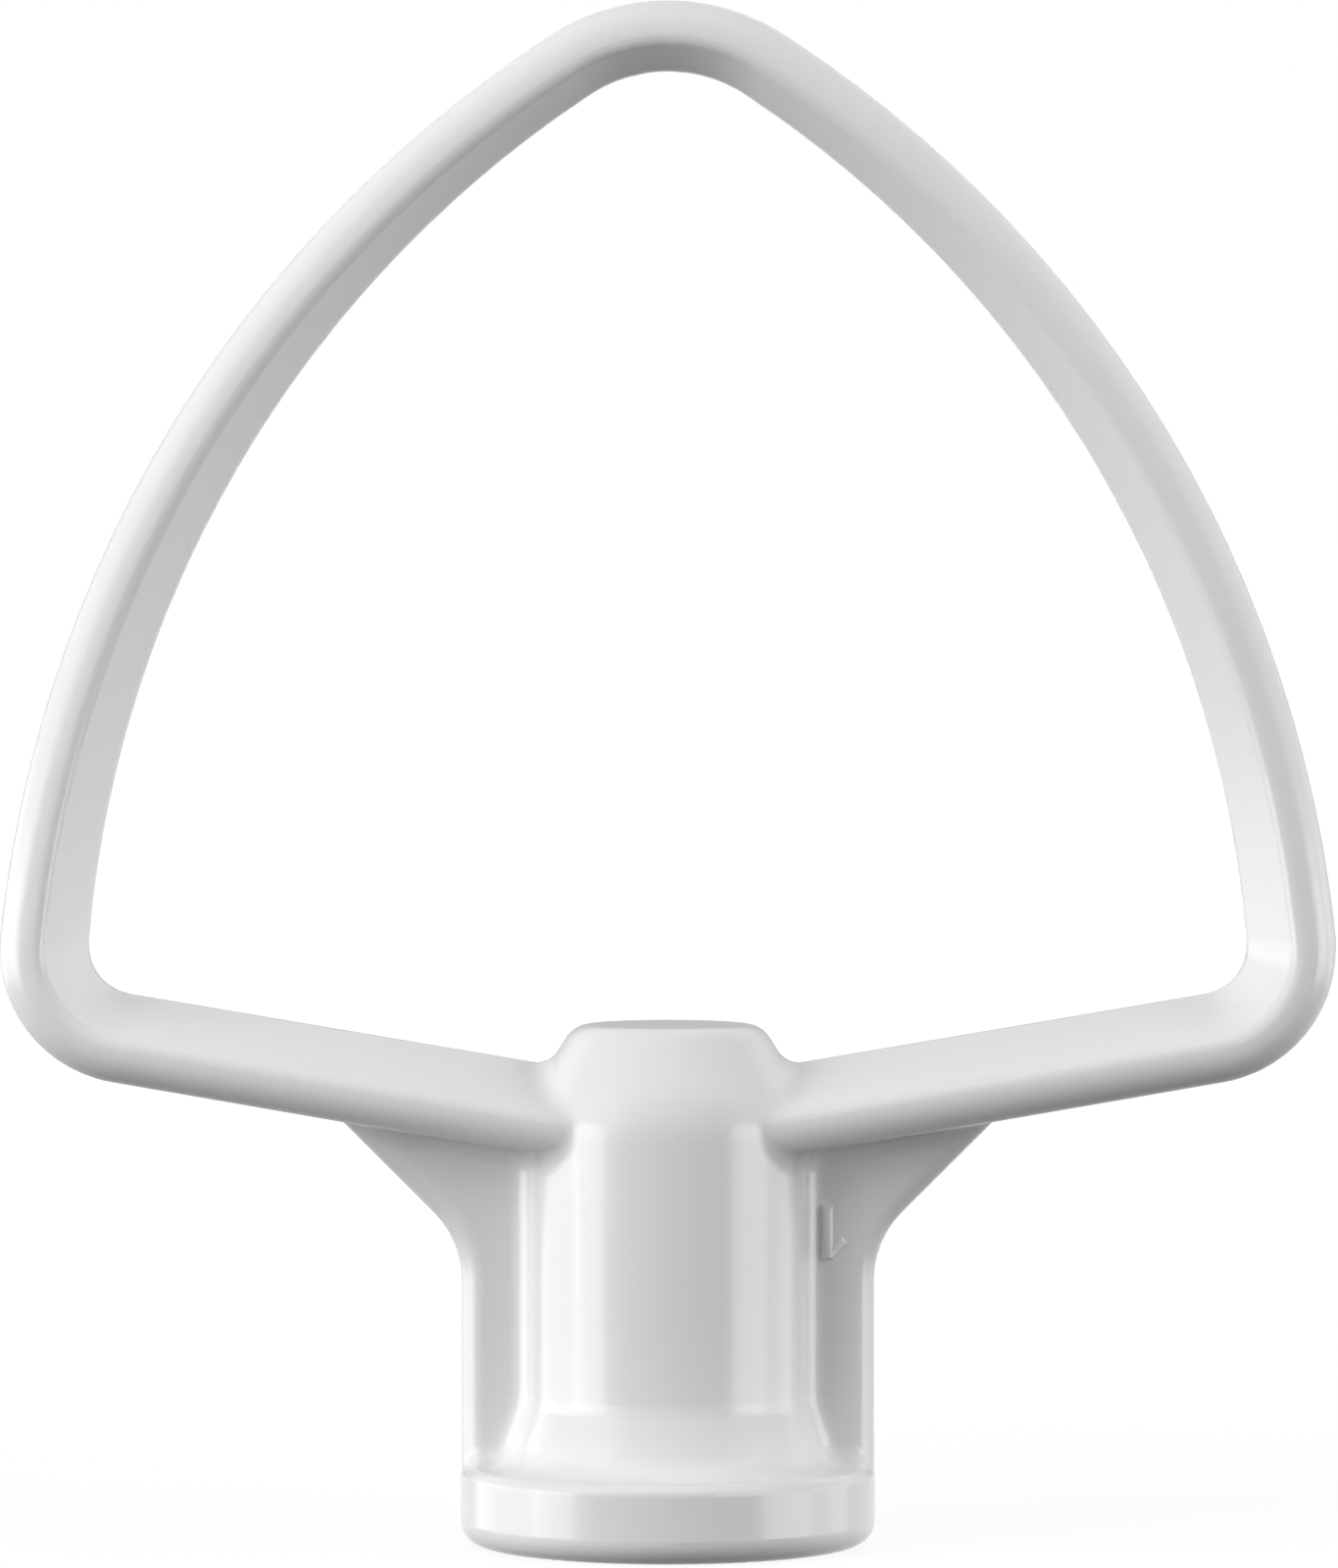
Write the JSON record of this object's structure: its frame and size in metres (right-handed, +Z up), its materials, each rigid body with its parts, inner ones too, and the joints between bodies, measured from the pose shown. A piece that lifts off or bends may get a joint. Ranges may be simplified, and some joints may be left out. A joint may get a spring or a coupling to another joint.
{
  "type": "stand mixer flat beater",
  "caption": "One-piece coated cast flat beater: a pointed open loop on a hub with webs, and a collar with a blind drive socket and a bayonet slot for the mixer's pin.",
  "frame": {"origin": "centre of the collar's foot, at the mouth of the drive socket", "axes": "+Z up the drive axis from the collar to the loop's tip, +X along the loop's width to the right in the picture, +Y away from the camera through the loop's thickness"},
  "size_m": [0.1188, 0.0372, 0.1381],
  "materials": {
    "white_coating": "glossy white coating over cast aluminium"
  },
  "bodies": {
    "root": {"flat_beater": "white_coating"}
  },
  "joints": []
}
